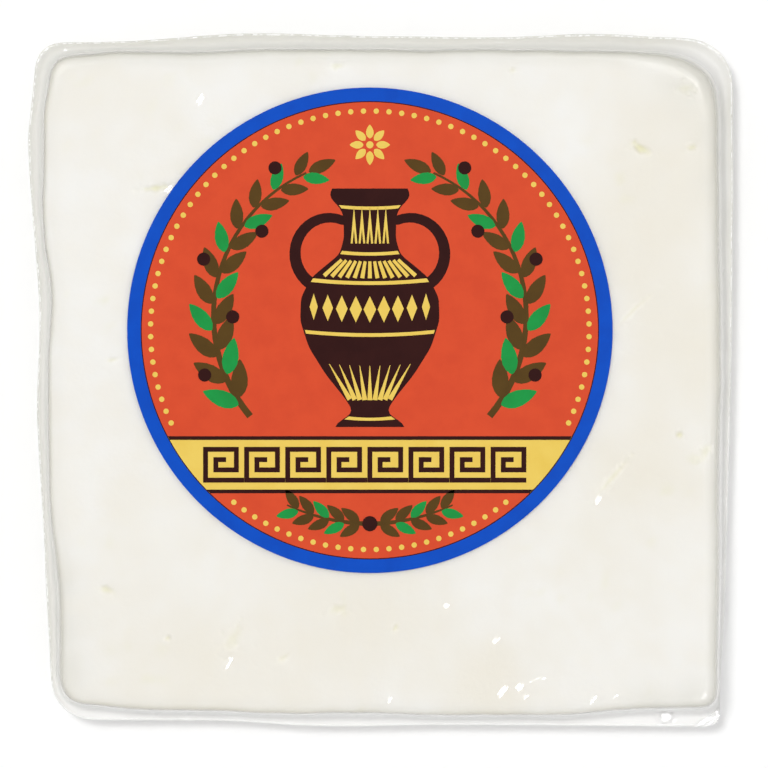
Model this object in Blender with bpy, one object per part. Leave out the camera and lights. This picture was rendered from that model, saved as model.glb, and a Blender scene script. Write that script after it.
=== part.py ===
# A block of feta in a clear sealed pack, with a round label on its top face.
# Metres, +Z up. The pack lies label up: +X is to the label's right and +Y to the label's top.
# The origin is on the surface that the pack lies on, under the middle of its outline.
import math

import bmesh
import bpy
from mathutils import Matrix, Vector

MM = 0.001

# The block, as the film draws in on it. It sits a little off the middle of the fin's outline.
BLOCK_LENGTH = 101.6 * MM
BLOCK_WIDTH = 99.8 * MM
BLOCK_HEIGHT = 22.0 * MM
BLOCK_CENTRE = Vector((0.8, -0.4)) * MM
BLOCK_CORNER_RADIUS = 4.0 * MM
BLOCK_EDGE_RADIUS = 3.0 * MM
EDGE_STEPS = 4

# The fin, where the two films are sealed together round the middle of the block's height.
# Corners run counter-clockwise from the near left, and each is rounded by its own radius.
FIN_LEVEL = BLOCK_HEIGHT / 2
FIN_THICKNESS = 0.5 * MM
FIN_CORNERS = [Vector(c) * MM for c in ((-50.2, -51.9), (51.9, -53.0), (54.0, 52.3), (-52.9, 51.6))]
FIN_CORNER_RADII = [r * MM for r in (6.1, 1.2, 6.9, 3.8)]

# How the fin's edge wanders between its corners: share of the way along, and distance outwards.
# The sides are the near one, the right one, the far one and the left one.
FIN_WAVES = (
    ((0.20, -0.1), (0.37, 0.6), (0.60, 0.15), (0.85, 0.05)),
    ((0.05, -0.15), (0.18, 0.4), (0.60, 0.6), (0.80, 0.4)),
    ((0.15, 0.8), (0.31, 0.3), (0.48, 0.6), (0.69, 1.2), (0.93, 0.0)),
    ((0.12, 1.4), (0.41, 0.3), (0.56, 1.1), (0.81, 0.45)),
)

# Between the block's side and the fin the film stands off in a flare:
# height above or below the fin's middle, and share of the way out to the fin's edge.
FLARE = ((5.5 * MM, 0.0), (2.6 * MM, 0.10), (1.1 * MM, 0.28), (0.35 * MM, 0.55))

CORNER_STEPS = 6
SIDE_STEPS = 18

# The label, a thin disc that lies just clear of the film
LABEL_DIAMETER = 73.3 * MM
LABEL_THICKNESS = 0.25 * MM
LABEL_CENTRE = Vector((-1.6, 7.5)) * MM
LABEL_GAP = 0.3 * MM
LABEL_SEGMENTS = 96

# Colours, and how rough each finish is
CHEESE_UNDER_FILM = ((0.86, 0.83, 0.76), 0.30)
LABEL_ORANGE = ((0.75, 0.085, 0.028), 0.45)


def clear_scene():
    for item in list(bpy.data.objects):
        bpy.data.objects.remove(item, do_unlink=True)


def finish(name, look):
    colour, roughness = look
    material = bpy.data.materials.new(name)
    material.use_nodes = True
    shader = material.node_tree.nodes["Principled BSDF"]
    shader.inputs["Base Color"].default_value = (*colour, 1.0)
    shader.inputs["Roughness"].default_value = roughness
    shader.inputs["Metallic"].default_value = 0.0
    material.diffuse_color = (*colour, 1.0)
    return material


def add_object(name, bm, look, collection):
    mesh = bpy.data.meshes.new(name)
    bm.to_mesh(mesh)
    bm.free()
    mesh.shade_smooth()
    mesh.set_sharp_from_angle(angle=math.radians(35))
    mesh.materials.append(finish(name, look))
    item = bpy.data.objects.new(name, mesh)
    collection.objects.link(item)
    return item


def wave(stations, share):
    """The height at a share of the way along, eased from each station to the next."""
    ends = ((0.0, 0.0), *stations, (1.0, 0.0))
    for (a, low), (b, high) in zip(ends, ends[1:]):
        if share <= b:
            t = (share - a) / (b - a)
            return low + (high - low) * t * t * (3 - 2 * t)
    return 0.0


def corner_arc(before, corner, after, radius):
    """Points of the arc that rounds one corner of a counter-clockwise outline."""
    along = (corner - before).normalized()
    onward = (after - corner).normalized()
    turn = along.angle(onward)
    outward = Vector((along.y, -along.x))
    start = corner - along * radius * math.tan(turn / 2)
    centre = start - outward * radius
    steps = (turn * k / CORNER_STEPS for k in range(CORNER_STEPS + 1))
    return [centre + Matrix.Rotation(a, 2) @ outward * radius for a in steps]


def outline(corners, radii, waves=((), (), (), ())):
    """A four-sided outline with rounded corners, and sides that may wander."""
    arcs = [
        corner_arc(corners[k - 1], corners[k], corners[(k + 1) % 4], radii[k]) for k in range(4)
    ]
    points = []
    for k, arc in enumerate(arcs):
        points += arc
        start, end = arc[-1], arcs[(k + 1) % 4][0]
        along = (end - start).normalized()
        outward = Vector((along.y, -along.x))
        for step in range(1, SIDE_STEPS):
            share = step / SIDE_STEPS
            points.append(start.lerp(end, share) + outward * wave(waves[k], share) * MM)
    return points


def block_outline(inset):
    half_x = BLOCK_LENGTH / 2 - inset
    half_y = BLOCK_WIDTH / 2 - inset
    corners = [
        BLOCK_CENTRE + Vector((sx * half_x, sy * half_y))
        for sx, sy in ((-1, -1), (1, -1), (1, 1), (-1, 1))
    ]
    return outline(corners, [BLOCK_CORNER_RADIUS - inset] * 4)


def lower_half(fin):
    """Sections from the flat underside up to the fin's lower edge, as height and points."""
    sections = []
    for step in range(EDGE_STEPS + 1):
        angle = math.radians(90) * step / EDGE_STEPS
        inset = BLOCK_EDGE_RADIUS * (1 - math.sin(angle))
        sections.append((BLOCK_EDGE_RADIUS * (1 - math.cos(angle)), block_outline(inset)))
    side = block_outline(0)
    for below, share in FLARE:
        sections.append((FIN_LEVEL - below, [a.lerp(b, share) for a, b in zip(side, fin)]))
    sections.append((FIN_LEVEL - FIN_THICKNESS / 2, fin))
    return sections


def film_pack(collection):
    fin = outline(FIN_CORNERS, FIN_CORNER_RADII, FIN_WAVES)
    lower = lower_half(fin)
    upper = [(BLOCK_HEIGHT - height, points) for height, points in reversed(lower)]
    bm = bmesh.new()
    rings = []
    for height, points in lower + upper:
        rings.append([bm.verts.new((p.x, p.y, height)) for p in points])
    count = len(fin)
    for below, above in zip(rings, rings[1:]):
        for k in range(count):
            after = (k + 1) % count
            bm.faces.new((below[k], below[after], above[after], above[k]))
    bm.faces.new(list(reversed(rings[0])))
    bm.faces.new(rings[-1])
    return add_object("film_pack", bm, CHEESE_UNDER_FILM, collection)


def label(collection):
    bm = bmesh.new()
    bmesh.ops.create_cone(
        bm,
        cap_ends=True,
        segments=LABEL_SEGMENTS,
        radius1=LABEL_DIAMETER / 2,
        radius2=LABEL_DIAMETER / 2,
        depth=LABEL_THICKNESS,
    )
    item = add_object("label", bm, LABEL_ORANGE, collection)
    level = BLOCK_HEIGHT + LABEL_GAP + LABEL_THICKNESS / 2
    item.location = (LABEL_CENTRE.x, LABEL_CENTRE.y, level)
    return item


def main():
    clear_scene()
    collection = bpy.data.collections.new("feta_block")
    bpy.context.scene.collection.children.link(collection)
    film_pack(collection)
    label(collection)


main()
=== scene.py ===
import math

import bmesh
import bpy
import numpy as np
from mathutils import Matrix, Vector, noise
from mathutils.kdtree import KDTree


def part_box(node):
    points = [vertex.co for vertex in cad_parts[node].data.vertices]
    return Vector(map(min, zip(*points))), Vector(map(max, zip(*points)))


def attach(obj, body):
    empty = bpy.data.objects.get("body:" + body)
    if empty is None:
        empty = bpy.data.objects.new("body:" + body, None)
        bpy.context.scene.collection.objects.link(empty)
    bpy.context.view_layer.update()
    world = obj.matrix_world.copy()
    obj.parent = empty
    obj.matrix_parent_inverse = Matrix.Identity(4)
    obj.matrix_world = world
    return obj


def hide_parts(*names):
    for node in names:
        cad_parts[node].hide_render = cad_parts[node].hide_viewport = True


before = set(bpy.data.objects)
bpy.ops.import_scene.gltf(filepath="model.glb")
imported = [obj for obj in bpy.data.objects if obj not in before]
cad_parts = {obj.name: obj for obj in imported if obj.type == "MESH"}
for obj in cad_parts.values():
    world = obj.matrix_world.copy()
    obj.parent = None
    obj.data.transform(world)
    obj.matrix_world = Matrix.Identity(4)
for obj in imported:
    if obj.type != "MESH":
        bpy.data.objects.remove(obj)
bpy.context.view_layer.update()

mm = 0.001
scene = bpy.context.scene
scene.view_settings.view_transform = "Standard"
scene.cycles.transparent_max_bounces = 32


# Node helpers

def addNode(tree, kind, inputs, **settings):
    node = tree.nodes.new("ShaderNode" + kind)
    for name, value in settings.items():
        setattr(node, name, value)
    for socket, value in inputs.items():
        if isinstance(value, bpy.types.NodeSocket):
            tree.links.new(value, node.inputs[socket])
        else:
            node.inputs[socket].default_value = value
    return node


def mixColours(tree, share, first, second):
    return addNode(tree, "Mix", {0: share, 6: first, 7: second}, data_type="RGBA").outputs[2]


def maths(tree, operation, first, second):
    return addNode(tree, "Math", {0: first, 1: second}, operation=operation).outputs[0]


def bump(tree, height, strength, distance):
    node = addNode(tree, "Bump", {"Height": height, "Strength": strength, "Distance": distance})
    return node.outputs["Normal"]


def painted(tree, name):
    # A value that the piece carries at each of its points
    return addNode(tree, "Attribute", {}, attribute_name=name).outputs["Fac"]


def noiseAt(tree, place, scale, detail, roughness):
    values = {"Vector": place, "Scale": scale, "Detail": detail, "Roughness": roughness}
    return addNode(tree, "TexNoise", values).outputs["Fac"]


def newMaterial(name):
    material = bpy.data.materials.new(name)
    material.use_nodes = True
    material.node_tree.nodes.clear()
    return material, material.node_tree


def newGroup(name, inputs, outputs):
    group = bpy.data.node_groups.new(name, "ShaderNodeTree")
    for title, kind in inputs:
        group.interface.new_socket(name=title, in_out="INPUT", socket_type="NodeSocket" + kind)
    for title, kind in outputs:
        group.interface.new_socket(name=title, in_out="OUTPUT", socket_type="NodeSocket" + kind)
    return group, group.nodes.new("NodeGroupInput"), group.nodes.new("NodeGroupOutput")


def makeMottle():
    # A colour that drifts in soft clouds towards a second one, and a fine grain
    group, given, result = newGroup(
        "mottle",
        [("Colour", "Color"), ("Second Colour", "Color"), ("Cloud Scale", "Float"),
         ("Amount", "Float"), ("Grain Scale", "Float")],
        [("Colour", "Color"), ("Grain", "Float")],
    )
    place = addNode(group, "TexCoord", {}).outputs["Object"]
    cloud = noiseAt(group, place, given.outputs["Cloud Scale"], 3.0, 0.55)
    spread = addNode(group, "MapRange", {"Value": cloud, "From Min": 0.36, "From Max": 0.66})
    share = maths(group, "MULTIPLY", spread.outputs["Result"], given.outputs["Amount"])
    mixed = mixColours(group, share, given.outputs["Colour"], given.outputs["Second Colour"])
    grain = noiseAt(group, place, given.outputs["Grain Scale"], 4.0, 0.6)
    group.links.new(mixed, result.inputs["Colour"])
    group.links.new(grain, result.inputs["Grain"])
    return group


mottle = makeMottle()


def mottled(tree, first, second, cloud, amount, grain):
    values = {
        "Colour": first, "Second Colour": second,
        "Cloud Scale": cloud, "Amount": amount, "Grain Scale": grain,
    }
    return addNode(tree, "Group", values, node_tree=mottle).outputs


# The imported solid's outlines, read from the frame, which the film and the cheese are grown from

packSides = {
    "finLevel": 11.0 * mm,
    "finFace": 10.75 * mm,       # where the solid's fin has its lower face
    "blockLevel": 19.0 * mm,     # where the solid's side is the plain block
    "levelSlack": 0.05 * mm,
    "cells": 100,                # cells along each side of the meshes
    "loopEasing": 2,             # times that an outline's points are eased
    "valueEasing": 4,            # times that the values round it are eased
    "sharpness": 12,             # how sharply one side's values give way to the next side's
    "cornerRadii": [5.0, 2.6, 7.0, 2.6],   # of the block, from the near left corner round
    "cornerPoints": 25,
    # How the cut block's near, right, far and left side wander: place along it and distance outwards
    "cut": [
        ((-45, -1.1), (-37, -0.3), (-23, -0.1), (-18, 0.3), (0, 0.2), (6, 0.5), (28, 0.5), (35, -0.2),
         (39, -0.5), (48, -0.6)),
        ((-47, -0.3), (-27, 0.0), (-13, -0.1), (-2, 0.2), (10, 0.2), (27, -0.1), (45, -0.2)),
        ((-48, -0.5), (-41, 0.4), (-27, 0.2), (-19, 0.7), (-1, 0.7), (7, 0.5), (15, 0.7), (31, 0.5),
         (42, 0.3), (48, -0.4)),
        ((-46, -1.2), (-31, -1.1), (-24, -0.3), (-17, 0.2), (-2, 0.4), (5, 0.3), (11, -0.2), (15, -0.1),
         (20, 0.9), (27, 1.3), (34, 1.0), (41, 1.2), (45, 0.5), (48, -0.2)),
    ],
    "wander": [(0.10, 4.5)],     # finer waves of the cut, in millimetres: how far and how wide
}


def ease(value):
    value = min(max(value, 0.0), 1.0)
    return value * value * (3 - 2 * value)


def rising(value, start, span):
    # From 0 to 1, as a value goes on from the start over the span
    return ease((value - start) / span)


def falling(value, end, span):
    # From 1 to 0, as a value comes to the end over the span
    return ease((end - value) / span)


def blend(first, second, share):
    return first + (second - first) * share


def ripple(place, size):
    # Smooth noise from about -1 to 1, whose bumps are about as wide as size. A third number that isn't
    # a height only picks another pattern.
    return noise.noise(Vector(place) / size)


def ripples(place, waves):
    # Several ripples together, each given by how high and how wide its bumps are
    return sum(height * ripple(place, width) for height, width in waves)


def inMark(dx, dy, turn, length, width):
    # A place, given from the middle of a mark, as shares of the mark's half length and half width
    angle = math.radians(turn)
    a = (dx * math.cos(angle) + dy * math.sin(angle)) / length
    b = (-dx * math.sin(angle) + dy * math.cos(angle)) / width
    return a, b


def outlineAt(height):
    # The corners of film_pack at a height, in order round its middle
    corners = {
        (round(v.co.x, 6), round(v.co.y, 6))
        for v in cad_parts["film_pack"].data.vertices
        if abs(v.co.z - height) < packSides["levelSlack"]
    }
    points = np.array(sorted(corners))
    middle = (points.min(0) + points.max(0)) / 2
    turn = np.arctan2(points[:, 1] - middle[1], points[:, 0] - middle[0])
    return points[np.argsort(turn)]


def eased(loop, times):
    for _ in range(times):
        loop = (np.roll(loop, 1, axis=0) + 2 * loop + np.roll(loop, -1, axis=0)) / 4
    return loop


def evenLoop(points, cells):
    # The same outline as four even runs of points from corner to corner, eased a little
    middle = (points.min(0) + points.max(0)) / 2
    starts = [
        int(np.argmax((points - middle) @ np.array(c))) for c in ((-1, -1), (1, -1), (1, 1), (-1, 1))
    ]
    runs = []
    for k in range(4):
        first, last = starts[k], starts[(k + 1) % 4]
        last += len(points) if last <= first else 0
        run = points[np.arange(first, last + 1) % len(points)]
        walked = np.concatenate(([0], np.cumsum(np.linalg.norm(np.diff(run, axis=0), axis=1))))
        even = np.linspace(0, walked[-1], cells + 1)[:-1]
        runs.append(np.stack([np.interp(even, walked, run[:, c]) for c in (0, 1)], axis=1))
    return eased(np.concatenate(runs), packSides["loopEasing"])


def sideValues(loop, sides):
    # What each point has on the near, right, far and left side. A side gives one number, or stations
    # of a place along it, in millimetres, and a number.
    columns = []
    for axis, side in zip((0, 1, 0, 1), sides):
        stations = side if isinstance(side, tuple) else ((0, side),)
        columns.append(np.interp(loop[:, axis] / mm, *zip(*stations)))
    return np.column_stack(columns)


def sideBlend(loop, sides):
    # Each point's value, blended from the sides that it belongs to
    low, high = loop.min(0), loop.max(0)
    away = (loop - (low + high) / 2) / ((high - low) / 2)
    x, y = away[:, 0], away[:, 1]
    shares = np.column_stack([np.maximum(-y, 0), np.maximum(x, 0), np.maximum(y, 0), np.maximum(-x, 0)])
    shares **= packSides["sharpness"]
    values = (shares * sideValues(loop, sides)).sum(1) / shares.sum(1)
    return eased(values, packSides["valueEasing"])


def blockOutline():
    # The solid's block with corners of its own, and with sides that wander as a cut block's do
    points = outlineAt(packSides["blockLevel"])
    low, high = points.min(0), points.max(0)
    arcs = []
    for k, radius in enumerate(packSides["cornerRadii"]):
        turns = np.radians(np.linspace(180, 270, packSides["cornerPoints"]) + 90 * k)
        corner = np.array([(-1, 1, 1, -1)[k], (-1, -1, 1, 1)[k]])
        centre = np.where(corner > 0, high, low) - corner * radius * mm
        arcs.append(centre + radius * mm * np.column_stack([np.cos(turns), np.sin(turns)]))
    loop = evenLoop(np.concatenate(arcs), packSides["cells"])
    along = np.roll(loop, -1, axis=0) - np.roll(loop, 1, axis=0)
    outward = np.column_stack([along[:, 1], -along[:, 0]]) / np.linalg.norm(along, axis=1)[:, None]
    fine = np.array([ripples((*(p / mm), 9), packSides["wander"]) for p in loop])
    step = sideBlend(loop, packSides["cut"]) + fine
    return loop + outward * step[:, None] * mm


blockLoop = blockOutline()
finLoop = evenLoop(outlineAt(packSides["finFace"]), packSides["cells"])


def drawnIn(loop, insets):
    # The loop made narrower by its own inset on the near, right, far and left side
    low, high = loop.min(0), loop.max(0)
    middle, half = (low + high) / 2, (high - low) / 2
    near, right, far, left = insets
    away = loop - middle
    sideways = np.where(away[:, 0] > 0, right, left) / half[0]
    endways = np.where(away[:, 1] > 0, far, near) / half[1]
    return middle + away * (1 - np.stack([sideways, endways], axis=1))


def atHeight(loop, height):
    return np.column_stack([loop, np.full(len(loop), height)])


def roundedEdge(loop, face, radii, steps, sign):
    # Sections of the edge between a flat face and the upright sides, with a radius for each side,
    # in millimetres. Sign is -1 under an upper face and 1 over a lower one.
    radius = sideBlend(loop, radii) * mm
    insets = sideValues(loop, radii).T * mm
    sections = []
    for step in range(steps + 1):
        angle = math.radians(90) * step / steps
        narrow = drawnIn(loop, insets * (1 - math.sin(angle)))
        sections.append(np.column_stack([narrow, face + sign * radius * (1 - math.cos(angle))]))
    return sections


def growBlock(cells, levels):
    # A square sheet whose rim is drawn down level by level and closed by a second sheet.
    # It is a flat pattern so far: x and y run from -1 to 1, and z counts the levels.
    bm = bmesh.new()
    bmesh.ops.create_grid(bm, x_segments=cells, y_segments=cells, size=1)
    rim = [e for e in bm.edges if e.is_boundary]
    for _ in range(levels):
        grown = bmesh.ops.extrude_edge_only(bm, edges=rim)["geom"]
        rim = [g for g in grown if isinstance(g, bmesh.types.BMEdge) and g.is_boundary]
        fresh = [g for g in grown if isinstance(g, bmesh.types.BMVert)]
        bmesh.ops.translate(bm, verts=fresh, vec=(0, 0, 1))
    below = Matrix.Translation((0, 0, levels))
    bmesh.ops.create_grid(bm, x_segments=cells, y_segments=cells, size=1, matrix=below)
    bmesh.ops.remove_doubles(bm, verts=bm.verts, dist=0.001)
    return bm


def layOver(bm, sections, stand):
    # Lays the pattern over its sections, and keeps how far each level stands out to the fin's edge
    cells = packSides["cells"]
    pattern = np.array([v.co for v in bm.verts])
    reach = np.abs(pattern[:, :2]).max(1)
    edge = pattern[:, :2] / np.maximum(reach, 1e-9)[:, None]
    u, v = edge[:, 0], edge[:, 1]
    nearly = 1 - 1e-5
    along = cells * np.select(
        [v <= -nearly, u >= nearly, v >= nearly],
        [(u + 1) / 2, 1 + (v + 1) / 2, 2 + (1 - u) / 2],
        3 + (1 - v) / 2,
    )
    low = np.floor(along).astype(int)
    part = (along - low)[:, None]
    level = np.rint(pattern[:, 2]).astype(int)
    table = np.array(sections)
    around = table.shape[1]
    spot = table[level, low % around] * (1 - part) + table[level, (low + 1) % around] * part
    middle = table.mean(axis=1)[level]
    spot = middle + (spot - middle) * reach[:, None]
    layer = bm.verts.layers.float.new("standOut")
    for vertex, at, k in zip(bm.verts, spot, level):
        vertex.co = at
        vertex[layer] = stand[k]
    bm.normal_update()
    bmesh.ops.recalc_face_normals(bm, faces=bm.faces)
    bm.normal_update()
    return layer


def refine(bm, marks, cuts, low, high):
    # Cuts the cells between two heights round some marks, so that small forms have room. Each mark is
    # an x, a y and a reach in millimetres.
    near = {
        v for v in bm.verts
        if low < v.co.z < high
        and any(math.hypot(v.co.x / mm - x, v.co.y / mm - y) < reach for x, y, reach in marks)
    }
    edges = [e for e in bm.edges if e.verts[0] in near and e.verts[1] in near]
    bmesh.ops.subdivide_edges(bm, edges=edges, cuts=cuts, use_grid_fill=True)
    bm.normal_update()


def newLayers(bm, *names):
    return [bm.verts.layers.float.new(name) for name in names]


def finishPiece(name, bm, materials):
    mesh = bpy.data.meshes.new(name)
    bm.to_mesh(mesh)
    bm.free()
    mesh.shade_smooth()
    for material in materials:
        mesh.materials.append(material)
    piece = bpy.data.objects.new(name, mesh)
    scene.collection.objects.link(piece)
    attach(piece, "root")
    return piece


# Grey patches on the top face, a painted shade carried by the cheese's colour and the film's milk: x, y,
# reach and how grey
shadePatches = [
    (50.5, 48.5, 7.0, 0.80),
    (51.5, 38, 4, 0.4),
    (51.5, 30, 3.5, 0.3),
    (-50.5, -31, 4.5, 0.45),
    (-50, -38, 4.5, 0.5),
    (-49, -44, 4.5, 0.5),
    (41, -50, 4, 0.4),
    (48, -49.5, 4.5, 0.5),
]


def shadePatchAt(x, y):
    return max(
        math.exp(-((x - px) ** 2 + (y - py) ** 2) / reach ** 2) * amount
        for px, py, reach, amount in shadePatches
    )


def bySide(p, values):
    # The value for the near, right, far or left side, blended round the corners
    shares = [max(w, 0) ** packSides["sharpness"] for w in (-p.y, p.x, p.y, -p.x)]
    return sum(share * value for share, value in zip(shares, values)) / max(sum(shares), 1)


# The cheese

cheese = {
    "inset": 0.13 * mm,            # how far inside the film's block outline it stays
    "top": 21.95 * mm,
    "bottom": 0.20 * mm,
    # Radii of its near, right, far and left edge, in millimetres
    "topEdges": [1.6, ((38, 2.8), (46, 4.0)), ((38, 1.9), (46, 3.6)), ((-46, 3.0), (-28, 2.6), (-20, 1.5))],
    "bottomEdges": [3.0, 3.0, 2.5, 2.5],
    "edgeSteps": 7,
    "sideSteps": 12,
    # Slow rise and fall, and coarse and fine curd texture, in millimetres: how high and how wide
    "waves": [(0.16, 17), (0.05, 2.3), (0.025, 0.9)],
    "setBack": 0.05,               # millimetres that the texture lies back
    "flatSlope": (0.9, 0.1),       # how level a face is where the texture comes to its full height
    "sideTexture": 0.4,            # share of the texture that the sides have
    "proud": (0.02, 0.10),         # the most that the sides and the level faces may rise
    "pitSize": 0.85,               # share of the sizes that cheesePits gives
    "pitReach": 6,                 # millimetres that a pit may count from its middle
    "pitUneven": [(0.9, 0.9, 3), (0.5, 0.45, 7)],   # how much, how wide and which pattern
    "pitLeast": 0.3,               # the least that may come to
    "pitSlope": 0.8,               # how level a face is where pits start
    # Where the cells round a pit are cut: its half length times the first, and the second more, in
    # millimetres, then the cuts in each cell, and how far under the top they go
    "pitCells": (1.6, 1, 4, 2 * mm),
    "coolColour": (0.935, 0.925, 0.890, 1),
    "warmColour": (0.890, 0.855, 0.765, 1),
    "curdColour": (0.860, 0.810, 0.690, 1),
    "wheyColour": (0.79, 0.77, 0.49, 1),
    # The colour of painted shade on its edges and in the grey patches
    "shadeColour": (0.765, 0.755, 0.690, 1),
    # Large and small patches of the curd's colour: how many in a metre, how strong, and their grain
    "clouds": (85.0, 0.30, 900.0),
    "curds": (330.0, 0.16, 2600.0),
    "edgeShade": (0.22, 0.60, 0.90, 0.30),   # painted shade on its near, right, far and left edge
    "shadeReach": 3.2 * mm,
    "shadeSlope": (0.1, 0.3),        # how level a face is where that comes in
    "wheyInPits": 0.85,
    "wheyDepth": 1.9,              # how quickly whey comes with a pit's depth
    "wheyPower": 1.5,
    "wheyStain": 0.25,
    "stainSize": 2.2,              # millimetres
    "stainSlope": 2.4,
    "stainStart": 0.7,
    "stainFields": 12,             # how wide the stretches with stains are
    "fieldSlope": 2,
    "warmBase": 0.22,
    "warmMore": 0.6,               # how much warmer the warm places are
    "warmDrifts": [(0.3, 14), (0.15, 5)],   # how much the warmth drifts, and over how many millimetres
    # Warmer stretches of the top face: x, y and reach in millimetres
    "warmPlaces": [(38, 21, 13), (45, 35, 10), (38, -13, 9), (-6, -33, 13), (-30, -45, 15), (16, -45, 7),
                   (47, 4, 8)],
}

# Small holes and slits in the top face, in millimetres: x, y, half length, half width,
# turn in degrees, and depth
cheesePits = [
    (39.3, 35.0, 1.7, 0.75, -35, 0.55),
    (47.0, 35.1, 0.9, 0.5, 20, 0.40),
    (-41.4, -31.7, 1.2, 0.6, -20, 0.40),
    (45.2, -8.3, 0.6, 0.5, 0, 0.45),
    (-40.5, 3.0, 1.2, 0.5, 10, 0.30),
    (-6.6, 47.4, 1.3, 0.5, 0, 0.30),
    (20.0, 46.8, 0.7, 0.5, 0, 0.25),
    (46.1, 44.1, 1.5, 0.9, 10, 0.35),
    (-6.4, -34.6, 1.8, 0.8, 15, 0.30),
    (2.2, -37.5, 0.7, 0.4, 60, 0.35),
    (-32.1, -39.0, 0.5, 0.4, 0, 0.35),
    (-14.7, -42.0, 1.0, 0.5, 30, 0.25),
    (-22.3, -39.1, 2.6, 1.1, 60, 0.25),
    (49.2, -10.9, 1.6, 0.8, 70, 0.30),
    (-33.9, 29.0, 2.4, 0.5, 8, 0.45),
    (35.0, -14.8, 3.4, 0.5, 48, 0.30),
    (38.1, 10.4, 4.0, 0.45, 44, 0.22),
]


def makeCheeseMaterial():
    material, tree = newMaterial("cheese")
    warmth = painted(tree, "warmth")
    ground = mixColours(tree, warmth, cheese["coolColour"], cheese["warmColour"])
    tone = mottled(tree, ground, cheese["curdColour"], *cheese["clouds"])
    curds = mottled(tree, tone["Colour"], cheese["curdColour"], *cheese["curds"])
    whey = painted(tree, "whey")
    # Painted shade, on the edges and in the grey patches
    paintedShade = painted(tree, "paintedShade")
    stained = mixColours(tree, whey, curds["Colour"], cheese["wheyColour"])
    shader = addNode(tree, "BsdfPrincipled", {
        "Base Color": mixColours(tree, paintedShade, stained, cheese["shadeColour"]),
        "Roughness": 0.42, "Specular IOR Level": 0.2,
        "Normal": bump(tree, tone["Grain"], 0.25, 0.2 * mm),
    })
    addNode(tree, "OutputMaterial", {"Surface": shader.outputs[0]})
    return material


def pitDepth(x, y):
    depth = 0.0
    for px, py, length, width, turn, deep in cheesePits:
        dx, dy = x - px, y - py
        if max(abs(dx), abs(dy)) > cheese["pitReach"]:
            continue
        a, b = inMark(dx, dy, turn, length * cheese["pitSize"], width * cheese["pitSize"])
        uneven = 1 + sum(much * ripple((x, y, k), size) for much, size, k in cheese["pitUneven"])
        depth = max(depth, deep * math.exp(-(a * a + b * b) * max(uneven, cheese["pitLeast"])))
    return depth


def wheyAt(p, deep):
    # Whey stands in the pits and stains the curd here and there
    stain = ease(ripple(p, cheese["stainSize"]) * cheese["stainSlope"] - cheese["stainStart"])
    stain *= ease(ripple((p.x, p.y, 40), cheese["stainFields"]) * cheese["fieldSlope"])
    inPit = cheese["wheyInPits"] * (deep * cheese["wheyDepth"]) ** cheese["wheyPower"]
    return min(inPit + cheese["wheyStain"] * stain, 1.0)


def warmthAt(p):
    warm = sum(
        math.exp(-((p.x - x) ** 2 + (p.y - y) ** 2) / reach ** 2) for x, y, reach in cheese["warmPlaces"]
    )
    return ease(cheese["warmBase"] + cheese["warmMore"] * min(warm, 1) + ripples(p, cheese["warmDrifts"]))


def makeCheese():
    loop = drawnIn(blockLoop, [cheese["inset"]] * 4)
    upper = roundedEdge(loop, cheese["top"], cheese["topEdges"], cheese["edgeSteps"], -1)
    lower = roundedEdge(loop, cheese["bottom"], cheese["bottomEdges"], cheese["edgeSteps"], 1)[::-1]
    between = [
        upper[-1] + (lower[0] - upper[-1]) * step / cheese["sideSteps"]
        for step in range(1, cheese["sideSteps"])
    ]
    levels = upper + between + lower
    bm = growBlock(packSides["cells"], len(levels) - 1)
    layOver(bm, levels, [0.0] * len(levels))
    bm.verts.layers.float.remove(bm.verts.layers.float["standOut"])
    times, more, cuts, under = cheese["pitCells"]
    marks = [(x, y, times * length + more) for x, y, length, *_ in cheesePits]
    refine(bm, marks, cuts, cheese["top"] - under, cheese["top"] + mm)
    whey, warmth, paintedShade = newLayers(bm, "whey", "warmth", "paintedShade")
    edge = KDTree(len(blockLoop))
    for spot, (x, y) in enumerate(blockLoop):
        edge.insert((x, y, 0), spot)
    edge.balance()
    moves = []
    for v in bm.verts:
        p = v.co / mm
        deep = pitDepth(p.x, p.y) if v.normal.z > cheese["pitSlope"] else 0.0
        v[whey] = wheyAt(p, deep)
        v[warmth] = warmthAt(p)
        # Painted shade: the edges are darkened, most on the far and right side, and so are the grey patches
        inside = edge.find((v.co.x, v.co.y, 0))[2]
        atEdge = bySide(p, cheese["edgeShade"]) * ease(1 - inside / cheese["shadeReach"])
        v[paintedShade] = blend(shadePatchAt(p.x, p.y), 1, atEdge) * rising(v.normal.z, *cheese["shadeSlope"])
        flat = rising(abs(v.normal.z), *cheese["flatSlope"])
        rise = (ripples(p, cheese["waves"]) - cheese["setBack"]) * blend(cheese["sideTexture"], 1, flat)
        moves.append(v.normal * (min(rise, blend(*cheese["proud"], flat)) - deep) * mm)
    for v, move in zip(bm.verts, moves):
        v.co += move
    piece = finishPiece("cheeseBlock", bm, [makeCheeseMaterial()])
    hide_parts("film_pack")
    print("cheese:", len(piece.data.polygons), "faces")


# The clear film, drawn tight on the block and sealed in a fin round its sides

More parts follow.
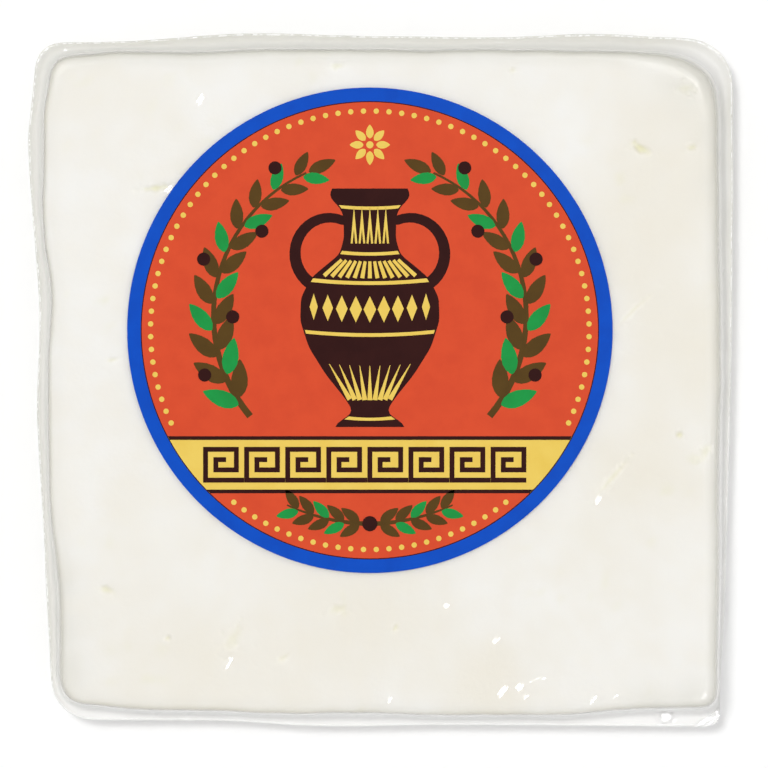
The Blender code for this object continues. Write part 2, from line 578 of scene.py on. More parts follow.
film = {
    "top": 22.2 * mm,
    "bottom": 0.02 * mm,
    "topEdges": [1.3, ((38, 2.3), (46, 3.2)), ((38, 1.5), (46, 2.8)), ((-46, 2.4), (-28, 2.0), (-20, 1.2))],
    "bottomEdges": [3.2, 3.2, 2.7, 2.7],
    # Steps for the upper and for the lower half
    "edgeSteps": (7, 4),
    "flareSteps": (11, 7),
    # Shares of the way over the fin
    "finRings": ((0.3, 0.55, 0.64, 0.73, 0.82, 0.91, 1.0), (0.5, 0.8, 1.0)),
    "sideSteps": 2,
    "flareHeight": 5.6 * mm,
    "flareRoot": 0.72,             # share of the way out where the flare meets the fin
    "flarePower": 3.0,
    "scallops": [(0.35, 4.5)],     # how much the flare's width varies, and over how many millimetres
    "bead": (0.875, 0.975),        # where its sealed edge stands up as a thin bead
    "beadHeight": 0.07,            # millimetres
    "beadSlope": 1.6,
    "beadCrinkle": 2.5,            # how much more its shine is broken up
    "finHalf": 0.14 * mm,
    "wall": 0.07 * mm,
    "swells": [(0.05, 21), (0.02, 5)],      # of the top face, in millimetres: how high and how wide
    "topSlope": 0.3,               # how level a face is to count as the top
    "labelFade": 1.0 * mm,         # how far round the label the film lies flat
    # Upright pleats on the sides, in millimetres
    "pleats": 0.22,
    "pleatSize": 3.1,
    "pleatStretch": 9,             # how much taller than wide they are
    "pleatRidge": (1.6, 0.35),     # how their ridges rise out of the plain film
    "pleatsEnd": (10.2, 3.0),      # height from the fin where they have ended, and over how much
    "smoothFrom": 0.5,             # share of the way out where they have gone in the flare
    "sideSlope": 1.35,             # how quickly a leaning face counts as a side
    "finWaves": [(0.55, 15), (0.165, 3.5)],   # how the fin's edge rises and falls, in millimetres
    "creaseSlope": 0.42,
    "creaseEnds": 1.5,             # how bluntly a crease ends
    # Where the cells round a crease are cut: millimetres more than its half length, cuts in each cell,
    # and the heights between which that is done
    "topCells": (0.75, 5, 22.0 * mm, 23.0 * mm),
    "finCells": (0.8, 3, 11.0 * mm, 12.5 * mm),
    "foldUneven": (0.5, 0.9),      # how much a fold's outline varies, and over how many millimetres
    "foldReach": (1.3, 0.5),       # where a fold ends, in its own half sizes, and over how much
    "foldFall": (0.2464, -0.2048),   # how much a fold falls for each millimetre of x and y
    # How milky the film is on the block's sides, on its bent edges, in the flare, along the fin's four
    # sides, and in the grey patches of painted shade on the top face
    "sideMilk": 0.26,
    "edgeMilk": 0.80,
    "flareMilk": 0.92,
    # The fin is milkier along the near and right side, so that its painted light hides more of the shaded
    # table under it
    "finMilk": (0.94, 0.90, 0.72, 0.72),
    "shadePatchMilk": 0.20,
    # Where each of them sets in: height from the fin, or share of the way out, and over how much
    "edgeMilkFrom": (6.5, 2.0),
    "sideMilkEnd": (11.3, 1.2),
    "flareMilkFrom": (0.0, 0.05),
    "finMilkFrom": (0.5, 0.3),
    # Painted light and shade in the milk's colour, in the flare and in the fin along the near, right, far
    # and left side: 1 gives the lit colour and 0 the shaded one
    "flarePaintedLight": (1.0, 0.75, 0.30, 0.42),
    "finPaintedLight": (1.0, 0.55, 0.08, 0.32),
    "finPaintedLightFrom": (0.4, 0.4),
    "paintedLightDrifts": [(0.12, 8)],
    "patchPaintedLight": 0.5,              # painted light added in the grey patches on the right half
    "rightPaintedLight": (0, 0.01, 0, 0),  # painted light that each millimetre towards the near side adds on the right
    # The milk's colour in painted shade and in painted light, and the colour of the painted highlight along
    # the bead
    "shadedMilkColour": (0.765, 0.755, 0.695, 1),
    "litMilkColour": (0.985, 0.98, 0.965, 1),
    "beadHighlightColour": (0.99, 0.99, 0.985, 1),
    "clearColour": (0.995, 0.995, 0.995, 1),
    "edgeShine": 0.02,             # how much of its shine it has where it bends over the block's edges
    "bend": (0.995, 0.012),        # slopes where that bend starts, and where it ends on the side
    "bendEnd": (0.72, 0.12),
}

# Creases in the top face: x, y, turn in degrees, half length and half width, in millimetres
filmCreases = [
    (-27.2, 42.3, 58, 1.6, 0.35),
    (-31.9, 28.8, 40, 1.5, 0.30),
    (-23.0, -42.7, 60, 1.7, 0.35),
    (32.8, -18.1, 58, 1.3, 0.32),
    (9.9, -34.1, 42, 0.9, 0.30),
    (17.4, -39.3, 42, 1.2, 0.30),
    (1.3, -48.2, 60, 1.0, 0.30),
    (18.4, -47.0, 50, 1.9, 0.35),
    (20.9, -46.4, 44, 1.2, 0.40),
    (23.6, -45.4, 24, 2.2, 0.35),
    (21.8, -47.8, 38, 1.0, 0.28),
    (32.0, -48.2, 50, 1.3, 0.30),
    (35.0, -47.8, 25, 1.5, 0.30),
]

# Small flat folds near the near right corner, with their height over the fin as well
filmFolds = [
    (43.6, -51.5, 75, 1.15, 0.85, 0.9),
    (49.2, -52.3, 32, 1.7, 0.36, 0.5),
    (50.9, -51.2, 42, 1.3, 0.30, 0.6),
    (51.6, -52.4, 50, 1.0, 0.26, 0.4),
]

# Creases in the fin and in its flare, given in the same way
finCreases = [
    (-44.3, 50.3, 60, 0.8, 0.25),
    (-48.3, 50.4, 45, 0.7, 0.25),
    (-34.0, -50.8, 45, 0.6, 0.25),
    (-32.7, -50.4, 20, 1.2, 0.22),
    (-28.9, -50.8, 30, 0.8, 0.22),
    (-16.8, -50.8, 40, 0.8, 0.22),
    (-3.4, -50.8, 60, 0.7, 0.22),
    (52.2, 16.2, 60, 0.8, 0.25),
    (52.3, 8.3, 50, 0.6, 0.22),
    (52.1, -17.8, 60, 0.8, 0.25),
    (52.0, -28.1, 62, 1.0, 0.25),
    (51.8, -30.4, 45, 0.8, 0.22),
    (51.3, -44.9, 50, 0.9, 0.28),
    (37.8, -50.6, 30, 0.7, 0.30),
    (43.9, -51.3, 42, 1.7, 1.20),
    (45.5, -50.7, -12, 1.3, 0.35),
    (49.8, -52.1, 36, 2.3, 0.55),
    (50.8, -51.1, 38, 1.3, 0.35),
    (51.3, -52.6, 48, 1.0, 0.30),
]


def makeFilmMaterial():
    # Clear and glossy, with a milky share where two films are sealed or the film stands off in folds. The
    # milk's colour carries painted light and shade, and a broken white line along the bead is a painted
    # highlight.
    material, tree = newMaterial("clearFilm")
    place = addNode(tree, "TexCoord", {}).outputs["Object"]
    wrinkle = noiseAt(tree, place, 260.0, 1.0, 0.5)
    crinkle = noiseAt(tree, place, 1300.0, 1.0, 0.5)
    bead = painted(tree, "bead")
    crisp = maths(tree, "MULTIPLY", maths(tree, "MULTIPLY", crinkle, bead), film["beadCrinkle"])
    normal = bump(tree, maths(tree, "ADD", wrinkle, crisp), 0.5, 0.25 * mm)
    # A painted highlight: a broken white line of milk along the bead
    highlightDashes = addNode(tree, "MapRange", {"Value": crinkle, "From Min": 0.40, "From Max": 0.58})
    rim = maths(tree, "MULTIPLY", highlightDashes.outputs["Result"], bead)
    # Painted light and shade in the milk's colour
    paintedLight = painted(tree, "paintedLight")
    tint = mixColours(tree, paintedLight, film["shadedMilkColour"], film["litMilkColour"])
    clear = addNode(tree, "BsdfTransparent", {"Color": film["clearColour"]})
    haze = addNode(tree, "BsdfPrincipled", {
        "Base Color": mixColours(tree, rim, tint, film["beadHighlightColour"]),
        "Roughness": 0.5, "Specular IOR Level": 0.0,
    })
    # Each film is milky once, on the side that faces the eye
    milky = painted(tree, "milky")
    facing = maths(tree, "SUBTRACT", 1.0, addNode(tree, "NewGeometry", {}).outputs["Backfacing"])
    milk = maths(tree, "MULTIPLY", maths(tree, "MAXIMUM", milky, rim), facing)
    sheet = addNode(tree, "MixShader", {0: milk, 1: clear.outputs[0], 2: haze.outputs[0]})
    gloss = addNode(tree, "BsdfAnisotropic", {"Color": (1, 1, 1, 1), "Roughness": 0.14, "Normal": normal})
    slant = addNode(tree, "LayerWeight", {"Blend": 0.1}).outputs["Facing"]
    mirrored = addNode(tree, "MapRange", {"Value": slant, "To Min": 0.03, "To Max": 0.35})
    shine = painted(tree, "shine")
    share = maths(tree, "MULTIPLY", mirrored.outputs["Result"], shine)
    surface = addNode(tree, "MixShader", {0: share, 1: sheet.outputs[0], 2: gloss.outputs[0]})
    addNode(tree, "OutputMaterial", {"Surface": surface.outputs[0]})
    return material


def creaseHeight(x, y, creases):
    height = 0.0
    for cx, cy, turn, length, width in creases:
        dx, dy = x - cx, y - cy
        if max(abs(dx), abs(dy)) > length + width:
            continue
        a, b = inMark(dx, dy, turn, length, width)
        if abs(a) < 1 and abs(b) < 1:
            taper = min(1.0, film["creaseEnds"] * math.cos(a * math.pi / 2) ** 2)
            height += film["creaseSlope"] * width * (1 - abs(b)) * taper
    return height


def foldAt(x, y):
    # How far a place belongs to a fold, and the fold's height there. Folds fall away to the near right.
    uneven, size = film["foldUneven"]
    reach, rim = film["foldReach"]
    fallX, fallY = film["foldFall"]
    for cx, cy, turn, length, width, height in filmFolds:
        dx, dy = x - cx, y - cy
        away = math.hypot(*inMark(dx, dy, turn, length, width)) * (1 + uneven * ripple((x, y, 60), size))
        if away < reach:
            return falling(away, reach, rim), height - fallX * dx - fallY * dy
    return 0.0, 0.0


def halfOfFilm(face, edges, sign):
    # Sections from a flat face to the fin's edge, and how far each stands out to it
    half = 0 if sign < 0 else 1
    sections = roundedEdge(blockLoop, face, edges, film["edgeSteps"][half], sign)
    stand = [0.0] * len(sections)
    turned = sections[-1]
    flareTop = packSides["finLevel"] - sign * film["flareHeight"]
    for step in range(1, film["sideSteps"] + 1):
        share = step / film["sideSteps"]
        sections.append(turned + (atHeight(blockLoop, flareTop) - turned) * share)
        stand.append(0.0)
    scallops = np.array([ripples((*(spot / mm), 0), film["scallops"]) for spot in blockLoop])

    def outwards(share, above):
        # The loop at a share of the way out, where the root's scallops fade towards the fin's edge
        own = share * (1 + scallops * (1 - share))[:, None]
        ring = blockLoop + (finLoop - blockLoop) * own
        sections.append(atHeight(ring, packSides["finLevel"] - sign * above))
        stand.append(share)

    for step in range(1, film["flareSteps"][half] + 1):
        left = 1 - step / film["flareSteps"][half]
        above = film["finHalf"] + (film["flareHeight"] - film["finHalf"]) * left ** film["flarePower"]
        outwards(film["flareRoot"] * (1 - left), above)
    root = stand[-1]
    for ring in film["finRings"][half]:
        outwards(root + (1 - root) * ring, film["finHalf"])
    return sections, stand


# Painted light and shade of the milk, from 0 for the shaded colour to 1 for the lit one
def paintedLightAt(p, out):
    flare = bySide(p, film["flarePaintedLight"])
    fin = bySide(p, film["finPaintedLight"]) + ripples((p.x, p.y, 20), film["paintedLightDrifts"])
    patchLight = film["patchPaintedLight"] * shadePatchAt(p.x, p.y) * (p.x > 0)
    return blend(flare, fin, rising(out, *film["finPaintedLightFrom"])) + patchLight - bySide(p, film["rightPaintedLight"]) * p.y


def milkAt(p, out, up, side, facing):
    milk = side * blend(film["sideMilk"], film["edgeMilk"], rising(up, *film["edgeMilkFrom"]))
    milk *= falling(up, *film["sideMilkEnd"])
    milk = blend(milk, film["flareMilk"], rising(out, *film["flareMilkFrom"]))
    milk = blend(milk, bySide(p, film["finMilk"]), rising(out, *film["finMilkFrom"]))
    return max(milk, film["shadePatchMilk"] * shadePatchAt(p.x, p.y) * (facing > 0))


def pleatAt(p, up, side):
    ridge, plain = film["pleatRidge"]
    wave = abs(ripple((p.x, p.y, p.z / film["pleatStretch"]), film["pleatSize"]))
    return film["pleats"] * side * falling(up, *film["pleatsEnd"]) * (wave * ridge - plain)


def makeFilm():
    upper, upperStand = halfOfFilm(film["top"], film["topEdges"], -1)
    lower, lowerStand = halfOfFilm(film["bottom"], film["bottomEdges"], 1)
    levels = upper + lower[::-1]
    bm = growBlock(packSides["cells"], len(levels) - 1)
    layer = layOver(bm, levels, upperStand + lowerStand[::-1])
    finLevel = packSides["finLevel"]
    more, cuts, low, high = film["topCells"]
    refine(bm, [(x, y, length + more) for x, y, _, length, _ in filmCreases], cuts, low, high)
    more, cuts, low, high = film["finCells"]
    refine(bm, [(x, y, length + more) for x, y, _, length, _ in finCreases], cuts, low, high)
    milky, bead, paintedLight, shine = newLayers(bm, "milky", "bead", "paintedLight", "shine")
    beadLow, beadHigh = film["bead"]
    moves = []
    for v in bm.verts:
        p = v.co / mm
        out = v[layer]
        facing = v.normal.z
        up = abs(v.co.z - finLevel) / mm
        side = ease((1 - abs(facing)) * film["sideSlope"])
        rise, crease = pleatAt(p, up, side), 0.0
        if facing > film["topSlope"] and out == 0:
            fromLabel = (v.co.xy - label["centre"]).length - label["radius"]
            crease = creaseHeight(p.x, p.y, filmCreases)
            rise += ripples(p, film["swells"]) * ease(fromLabel / film["labelFade"]) + crease
        v[paintedLight] = paintedLightAt(p, out)
        v[milky] = milkAt(p, out, up, side, facing)
        bend = falling(abs(facing), *film["bend"]) * (1 if out > 0 else rising(facing, *film["bendEnd"]))
        wave = Vector((0, 0, 0))
        if out > 0:
            wave.z = ease(out) * ripples((p.x, p.y, 0), film["finWaves"])
            rise *= 1 - ease(out / film["smoothFrom"])
            onBead = max(0.0, 1 - abs(2 * out - beadLow - beadHigh) / (beadHigh - beadLow))
            v[bead] = min(1.0, film["beadSlope"] * onBead)
            if facing > 0:
                crease = creaseHeight(p.x, p.y, finCreases)
                wave.z += crease + film["beadHeight"] * v[bead]
                fold, height = foldAt(p.x, p.y)
                crease += fold
                wave.z += fold * (finLevel / mm + height - p.z - wave.z)
        v[shine] = 1 - (1 - film["edgeShine"]) * bend * (crease == 0)
        moves.append((v.normal * rise + wave) * mm)
    for v, move in zip(bm.verts, moves):
        v.co += move
    piece = finishPiece("clearFilm", bm, [makeFilmMaterial()])
    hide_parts("film_pack")
    wall = piece.modifiers.new("wall", "SOLIDIFY")
    wall.thickness = film["wall"]
    wall.offset = -1
    print("film:", len(piece.data.polygons), "faces")


# The printed label. Its print is a generic one in vase-painting style: a storage jar, olive sprigs
# and a key band.

labelLow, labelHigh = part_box("label")

label = {
    "centre": (labelLow.xy + labelHigh.xy) / 2,
    "radius": (labelHigh.x - labelLow.x) / 2,
    "bottom": 22.28 * mm,
    "top": 22.47 * mm,
    "ring": 2.05 * mm,             # width of the blue ring
    "hairline": 0.16 * mm,         # width of the dark line inside it
    "segments": 180,
    "ink": 0.02 * mm,              # how much each ink stands proud of what it is printed on
    "sharpAngle": math.radians(35),
}

inks = {
    "blue": ((0.0007, 0.078, 0.55, 1), (0.0007, 0.068, 0.50, 1)),
    "orange": ((0.71, 0.078, 0.026, 1), (0.67, 0.070, 0.024, 1)),
    "yellow": ((0.85, 0.61, 0.12, 1), (0.82, 0.57, 0.10, 1)),
    "maroon": ((0.026, 0.0025, 0.002, 1), (0.032, 0.004, 0.003, 1)),
    "olive": ((0.100, 0.052, 0.008, 1), (0.085, 0.044, 0.007, 1)),
    "green": ((0.010, 0.315, 0.060, 1), (0.010, 0.27, 0.050, 1)),
}


def makeInk(name):
    material, tree = newMaterial(name + "Ink")
    tone = mottled(tree, *inks[name], 300.0, 1.0, 2500.0)
    shader = addNode(tree, "BsdfPrincipled", {
        "Base Color": tone["Colour"], "Roughness": 0.38, "Specular IOR Level": 0.06,
        "Normal": bump(tree, tone["Grain"], 0.12, 0.05 * mm),
    })
    addNode(tree, "OutputMaterial", {"Surface": shader.outputs[0]})
    return material


ink = {name: makeInk(name) for name in inks}


def thicken(bm, thickness, low):
    # Gives a flat shape, drawn round the label's middle, its thickness and its place
    grown = bmesh.ops.extrude_face_region(bm, geom=list(bm.faces))["geom"]
    raised = [g for g in grown if isinstance(g, bmesh.types.BMVert)]
    bmesh.ops.translate(bm, verts=raised, vec=(0, 0, thickness))
    bmesh.ops.recalc_face_normals(bm, faces=bm.faces)
    bmesh.ops.translate(bm, verts=bm.verts, vec=(*label["centre"], low))


def makeLabelSheet():
    bm = bmesh.new()
    bmesh.ops.create_circle(bm, cap_ends=True, segments=label["segments"], radius=label["radius"])
    for width in (label["ring"], label["hairline"]):
        inner = max(bm.faces, key=lambda f: len(f.verts))
        bmesh.ops.inset_individual(bm, faces=[inner], thickness=width, use_even_offset=True)
    ringInside = label["radius"] - label["ring"]
    for face in bm.faces:
        spread = 0.0 if len(face.verts) > 4 else face.calc_center_median().xy.length
        face.material_index = 0 if spread > ringInside else 1 if spread > 0 else 2
    thicken(bm, label["top"] - label["bottom"], label["bottom"])
    piece = finishPiece("labelSheet", bm, [ink["blue"], ink["maroon"], ink["orange"]])
    piece.data.set_sharp_from_angle(angle=label["sharpAngle"])
    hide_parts("label")


def printInk(name, bm, colour, layer):
    # Prints shapes that are drawn in millimetres. A higher layer of ink stands over a lower one.
    bmesh.ops.scale(bm, verts=bm.verts, vec=(mm, mm, mm))
    thicken(bm, label["ink"] * (layer + 1), label["top"] - label["ink"] / 2)
    piece = finishPiece(name, bm, [ink[colour]])
    piece.data.set_sharp_from_angle(angle=label["sharpAngle"])


def onGrid(bm, across, along, place):
    # A strip of cells whose corners are put at place(u, t), with u from -1 to 1 and t from 0 to 1
    fresh = bmesh.ops.create_grid(bm, x_segments=across, y_segments=along, size=1)["verts"]
    for v in fresh:
        v.co.xy = place(v.co.x, (v.co.y + 1) / 2)


def stroke(bm, path, width, ends=None):
    # A line of ink along a path, with mitred corners. Ends gives its width at the two ends, as shares.
    path = [Vector(p) for p in path]
    count = len(path) - 1
    steps = [(b - a).normalized() for a, b in zip(path, path[1:])]
    mitres = []
    for k in range(count + 1):
        before, after = steps[max(k - 1, 0)], steps[min(k, count - 1)]
        normal = Vector((-before.y - after.y, before.x + after.x))
        mitres.append(normal / (1 + before.dot(after)))

    def place(u, t):
        k = round(t * count)
        share = 1.0 if ends is None else blend(*ends, t)
        return path[k] + mitres[k] * u * width / 2 * share

    onGrid(bm, 1, count, place)


def dot(bm, centre, radius, segments):
    spot = Matrix.Translation((*centre, 0))
    bmesh.ops.create_circle(bm, cap_ends=True, segments=segments, radius=radius, matrix=spot)


def leaf(bm, base, turn, length, width):
    # A leaf that starts at base and points along turn, in degrees. It is a circle of a few points,
    # pinched at both ends and widest nearer its base.
    fresh = bmesh.ops.create_circle(bm, cap_ends=True, segments=16, radius=1)["verts"]
    angle = math.radians(turn)
    forward = Vector((math.cos(angle), math.sin(angle)))
    for v in fresh:
        along = (v.co.x + 1) / 2 * length
        side = v.co.y * abs(v.co.y) ** 0.5 * width / 2 * (1.15 - 0.3 * v.co.x)
        v.co.xy = Vector(base) + forward * along + Vector((-forward.y, forward.x)) * side


jar = {
    "foot": -14.6,                 # height of its base on the label, in millimetres
    "profile": [                   # height above its base, and radius
        (0, 5.2), (0.9, 5.0), (1.4, 3.2), (2.6, 2.6), (4.5, 3.9), (8, 6.7), (12, 9.2), (16, 10.5),
        (19.5, 10.4), (22.5, 8.9), (24.6, 6.4), (26.0, 4.6), (28.5, 3.9), (32, 4.0), (33.6, 4.8),
        (34.2, 5.9), (35.4, 6.1), (36.0, 5.7),
    ],
    "steps": 73,                   # heights at which its side is drawn
    "rings": [(1.15, 0.45), (21.9, 0.55), (14.1, 0.55), (26.1, 0.5), (33.0, 0.5)],   # height, thickness
    "ringInset": 0.25,
    # Each handle is part of an oval, from near the shoulder round to the neck
    "handle": 1.7,                 # thickness
    "handleMiddle": (6.1, 26.2),
    "handleSize": (5.2, 5.4),
    "handleTurns": range(-68, 113, 10),
    "handleEnd": 3.9,
    # Tongues and rays: how many, lower and upper end (height, inset and sag), width, and taper
    "strokes": [
        (13, (22.9, 0.9, 0.45), (25.3, 0.9, 0.3), 0.62, (1.0, 0.75)),
        (9, (4.2, 0.3, 0.15), (9.6, 0.8, 0.35), 0.75, (1.0, 0.12)),
    ],
    "lozenges": 9,
    "lozengePlace": (18.25, 0.9, 0.5),   # height, inset and sag
    "lozengeSize": (0.95, 2.0),    # half its width and half its height
    "lozengeNarrowest": 0.35,      # share of that width at the jar's sides
    "zigzags": 5,
    "zigzagSpan": 3.0,             # how far from the jar's middle they reach
    "zigzagLow": 27.7,
    "zigzagSize": (0.35, 3.9),     # half its width and its height
    "zigzagLine": 0.3,
}


def evenly(count):
    # The middles of some even spaces between -1 and 1
    return [(k + 0.5) / count * 2 - 1 for k in range(count)]


def makeJar():
    heights, radii = (np.array(values) for values in zip(*jar["profile"]))
    fine = np.linspace(0, heights[-1], jar["steps"])
    smooth = np.interp(fine, heights, radii)
    for _ in range(2):
        smooth[1:-1] = (smooth[:-2] + 2 * smooth[1:-1] + smooth[2:]) / 4

    def reach(height):
        return float(np.interp(height, fine, smooth))

    def across(u, height, inset, sag):
        # A place on the jar, where its rings sag a little in the middle as if it were round
        return Vector((u * (reach(height) - inset), jar["foot"] + height - sag * (1 - u * u)))

    bm = bmesh.new()
    onGrid(bm, 2, len(fine) - 1, lambda u, t: across(u, t * fine[-1], 0, 0))
    printInk("jarInk", bm, "maroon", 1)

    bm = bmesh.new()
    middle, height = jar["handleMiddle"]
    width, rise = jar["handleSize"]
    turns = [math.radians(turn) for turn in jar["handleTurns"]]
    for side in (-1, 1):
        path = [
            (side * (middle + width * math.cos(a)), jar["foot"] + height + rise * math.sin(a)) for a in turns
        ]
        path.append((side * jar["handleEnd"], path[-1][1]))
        stroke(bm, path, jar["handle"], (1.1, 0.8))
    printInk("jarHandles", bm, "maroon", 0)

    bm = bmesh.new()
    for height, thick in jar["rings"]:
        sag = reach(height) / 20
        onGrid(bm, 24, 1, lambda u, t: across(u, height + thick * t, jar["ringInset"], sag))
    for count, low, high, width, ends in jar["strokes"]:
        for u in evenly(count):
            stroke(bm, [across(u, *low), across(u, *high)], width, ends)
    width, height = jar["lozengeSize"]
    for u in evenly(jar["lozenges"]):
        narrow = blend(jar["lozengeNarrowest"], 1, math.sqrt(1 - u * u))
        size = Matrix.Diagonal((width * narrow, height, 1, 1))
        spot = Matrix.Translation((*across(u, *jar["lozengePlace"]), 0)) @ size
        bmesh.ops.create_circle(bm, cap_ends=True, segments=4, radius=1, matrix=spot)
    low = jar["foot"] + jar["zigzagLow"]
    half, tall = jar["zigzagSize"]
    for x in (u * jar["zigzagSpan"] for u in evenly(jar["zigzags"])):
        stroke(bm, [(x - half, low), (x, low + tall), (x + half, low)], jar["zigzagLine"])
    printInk("jarBands", bm, "yellow", 2)


keyBand = {
    "bottom": -24.6,
    "height": 8.6,
    "unit": 0.775,                 # the key's module
    "line": 0.74,
    "units": 8,
    "edge": 0.55,
    "gap": 0.02,                   # between neighbouring shapes of one ink
    # The key's corners, counted in its module
    "key": [(8, 0), (0, 0), (0, 6), (6, 6), (6, 2), (2, 2), (2, 4), (4, 4)],
}


def makeKeyBand():
    low, high = keyBand["bottom"], keyBand["bottom"] + keyBand["height"]
    reach = (label["radius"] - label["ring"] - label["hairline"]) / mm

    def across(u, y, inset):
        return Vector((u * (math.sqrt(reach ** 2 - y * y) - inset), y))

    bm = bmesh.new()
    onGrid(bm, 8, 10, lambda u, t: across(u, low + (high - low) * t, 0))
    printInk("keyField", bm, "yellow", 0)

    bm = bmesh.new()
    edge = keyBand["edge"]
    for bottom in (low, high - edge):
        onGrid(bm, 8, 1, lambda u, t: across(u, bottom + edge * t, keyBand["gap"]))
    g, line = keyBand["unit"], keyBand["line"]
    left = -keyBand["units"] * 4 * g
    base = (low + high) / 2 - 3 * g
    for k in range(keyBand["units"]):
        path = [Vector((left + (8 * k + x) * g, base + y * g)) for x, y in keyBand["key"]]
        path[0].x -= line / 2 + keyBand["gap"] if k < keyBand["units"] - 1 else 2 * g - line / 2
        stroke(bm, path, line)
    printInk("keyLines", bm, "maroon", 1)


sprig = {
    "centre": (0.0, 2.2),
    "radius": 23.6,
    "from": -40,
    "to": 66,
    "stem": 0.8,
    "taper": (1.3, 0.4),
    "leaves": 11,                  # pairs on each sprig
    "leafSize": (5.6, 2.1),        # length and width
    "tipSize": (4.4, 1.6),         # of the leaf at its tip
    "shrink": (1.05, 0.70),        # the leaves' size at its foot and at its tip
    "lean": 35,                    # degrees between a leaf and the stem
    "stagger": 2.2,                # degrees that the inner leaves come later
    "root": 0.35,                  # how far from the stem's middle a leaf starts
    "oliveRadius": 1.0,
    "oliveOut": 2.9,
}

# The small sprig under the key band, from its middle out
lowSprig = {
    "height": -29.2,
    "rise": 0.018,                 # how its stem bends up
    "reach": (0.4, 12.5),
    "stem": 0.6,
    "taper": (1.2, 0.4),
    "leaves": 5,
    "leafSize": (3.4, 1.3),
    "first": 1.6,
    "step": 2.3,
    "lean": 34,
    "root": 0.25,
    "olive": 1.15,
}


def makeSprigs():
    centre = Vector(sprig["centre"])
    stems, darkLeaves, greenLeaves, olives = (bmesh.new() for _ in range(4))
    for side in (-1, 1):
        def on(angle, radius):
            a = math.radians(angle)
            return centre + Vector((side * radius * math.cos(a), radius * math.sin(a)))

        def facing(turn):
            return turn if side > 0 else 180 - turn

        span = sprig["to"] - sprig["from"]
        arc = np.linspace(sprig["from"], sprig["to"], 28)
        stroke(stems, [on(a, sprig["radius"]) for a in arc], sprig["stem"], sprig["taper"])
        length, width = sprig["leafSize"]
        for k in range(sprig["leaves"]):
            share = (k + 0.6) / sprig["leaves"]
            angle = blend(sprig["from"], sprig["to"], share)
            size = blend(*sprig["shrink"], share)
            for way in (1, -1):
                late = sprig["stagger"] if way < 0 else 0
                base = on(angle + late, sprig["radius"] + way * sprig["root"])
                sheet = greenLeaves if (k + (way > 0)) % 3 == 1 else darkLeaves
                leaf(sheet, base, facing(angle + 90 - way * sprig["lean"]), length * size, width * size)
            if k % 2 == 1 and k < sprig["leaves"] - 1:
                out = sprig["oliveOut"] if k % 4 == 1 else -sprig["oliveOut"]
                spot = on(angle + span / sprig["leaves"] / 2, sprig["radius"] + out)
                dot(olives, spot, sprig["oliveRadius"], 18)
        leaf(darkLeaves, on(sprig["to"] + 1, sprig["radius"]), facing(sprig["to"] + 90), *sprig["tipSize"])

        def along(x):
            return Vector((side * x, lowSprig["height"] + lowSprig["rise"] * x * x))

        path = [along(x) for x in np.linspace(*lowSprig["reach"], 14)]
        stroke(stems, path, lowSprig["stem"], lowSprig["taper"])
        for k in range(lowSprig["leaves"]):
            x = lowSprig["first"] + lowSprig["step"] * k
            for way in (1, -1):
                sheet = darkLeaves if (k + way) % 3 else greenLeaves
                base = along(x) + Vector((0, way * lowSprig["root"]))
                leaf(sheet, base, facing(2 * x + way * lowSprig["lean"]), *lowSprig["leafSize"])
    dot(olives, (0.0, lowSprig["height"]), lowSprig["olive"], 20)
    printInk("sprigStems", stems, "olive", 0)
    printInk("sprigLeaves", darkLeaves, "olive", 1)
    printInk("greenLeaves", greenLeaves, "green", 2)
    printInk("olives", olives, "maroon", 3)


rosette = {
    "centre": Vector((0.0, 28.0)),
    "petals": 8,
    "petalStart": 0.95,
    "petalSize": (2.1, 1.0),
    "middle": 0.55,
}

beadRing = {
    "beads": 108,
    "radius": 33.1,
    "bead": 0.42,
    "clear": 0.9,                  # how far they stay from the key band
}


def makeRosetteAndBeads():
    bm = bmesh.new()
    for k in range(rosette["petals"]):
        turn = 360 / rosette["petals"] * k
        away = Vector((math.cos(math.radians(turn)), math.sin(math.radians(turn))))
        leaf(bm, rosette["centre"] + away * rosette["petalStart"], turn, *rosette["petalSize"])
    dot(bm, rosette["centre"], rosette["middle"], 14)
    low = keyBand["bottom"] - beadRing["clear"]
    high = keyBand["bottom"] + keyBand["height"] + beadRing["clear"]
    for k in range(beadRing["beads"]):
        angle = 2 * math.pi * (k + 0.5) / beadRing["beads"]
        spot = Vector((math.cos(angle), math.sin(angle))) * beadRing["radius"]
        if not low < spot.y < high:
            dot(bm, spot, beadRing["bead"], 10)
    printInk("rosetteAndBeads", bm, "yellow", 0)


# The stage: table, light and camera

studio = {
    "table": (0.96, 0.96, 0.96, 1),
    "tableGlow": 0.05,
    "sky": 0.66,
    "keyPower": 7.9,
    "keyPlace": Vector((-0.16, 0.16, 1.5)),
    "keySize": 0.16,
    "glints": [Vector((-0.60, 0.60, 1.15)), Vector((0.50, 0.60, 1.1)), Vector((0.60, -0.50, 1.1))],
    "glintSize": 0.45,
    "glintPower": 19.0,
    "tableHalf": 2.5,
}

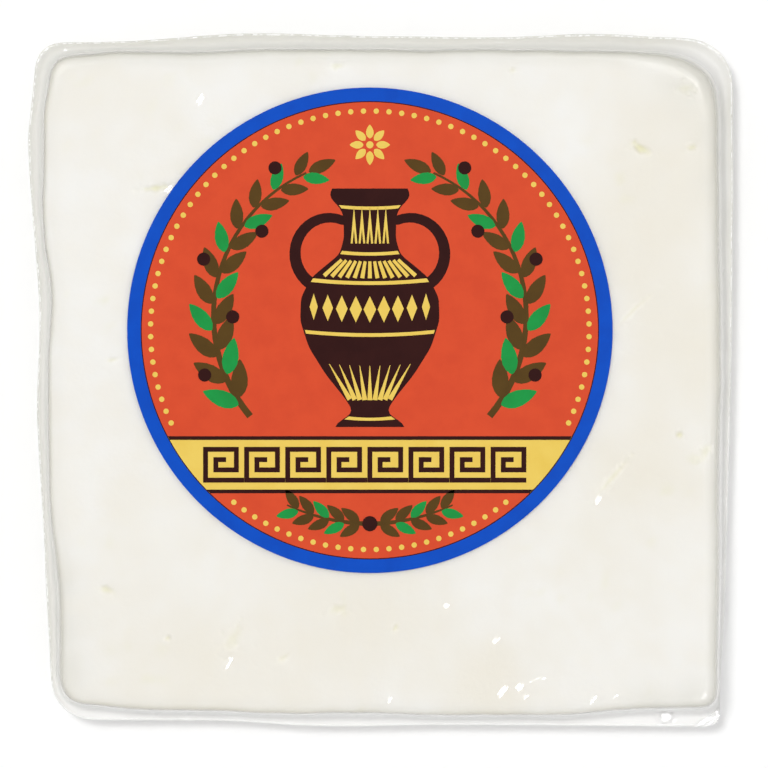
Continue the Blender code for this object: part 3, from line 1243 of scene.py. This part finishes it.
view = {
    "pixel": 0.151 * mm,          # one pixel of the photo at the top face
    "pixels": 768,
    "distance": 0.90,             # from the lens to the top face
    "centre": Vector((0.535, -0.61)) * mm,
    "sensor": 36.0,
}


def makeTable():
    bm = bmesh.new()
    bmesh.ops.create_grid(bm, x_segments=8, y_segments=8, size=studio["tableHalf"])
    mesh = bpy.data.meshes.new("table")
    bm.to_mesh(mesh)
    bm.free()
    material, tree = newMaterial("paleTable")
    shader = addNode(tree, "BsdfPrincipled", {
        "Base Color": studio["table"], "Roughness": 0.9, "Specular IOR Level": 0.1,
        "Emission Color": (1, 1, 1, 1), "Emission Strength": studio["tableGlow"],
    })
    addNode(tree, "OutputMaterial", {"Surface": shader.outputs[0]})
    mesh.materials.append(material)
    table = bpy.data.objects.new("table", mesh)
    scene.collection.objects.link(table)


def addLight(name, place, size, power, glintOnly):
    data = bpy.data.lights.new(name, "AREA")
    data.size = size
    data.energy = power
    lamp = bpy.data.objects.new(name, data)
    scene.collection.objects.link(lamp)
    lamp.location = place
    lamp.rotation_euler = (-place).to_track_quat("-Z", "Y").to_euler()
    lamp.visible_glossy = glintOnly
    lamp.visible_diffuse = not glintOnly


def makeStudio():
    makeTable()
    world = bpy.data.worlds.new("studioSky")
    scene.world = world
    world.use_nodes = True
    world.node_tree.nodes["Background"].inputs["Color"].default_value = (1, 1, 1, 1)
    world.node_tree.nodes["Background"].inputs["Strength"].default_value = studio["sky"]
    addLight("key", studio["keyPlace"], studio["keySize"], studio["keyPower"], False)
    for k, place in enumerate(studio["glints"]):
        addLight(f"glint{k}", place, studio["glintSize"], studio["glintPower"], True)
    print("studio lit")


def makeCamera():
    data = bpy.data.cameras.new("camera")
    camera = bpy.data.objects.new("camera", data)
    scene.collection.objects.link(camera)
    data.sensor_width = view["sensor"]
    data.lens = view["sensor"] * view["distance"] / (view["pixel"] * view["pixels"])
    camera.location = (view["centre"].x, view["centre"].y, film["top"] + view["distance"])
    data.clip_start = 0.05
    data.clip_end = 20.0
    scene.camera = camera


makeCamera()
makeStudio()
makeCheese()
makeFilm()
makeLabelSheet()
makeKeyBand()
makeJar()
makeSprigs()
makeRosetteAndBeads()
print("label printed")
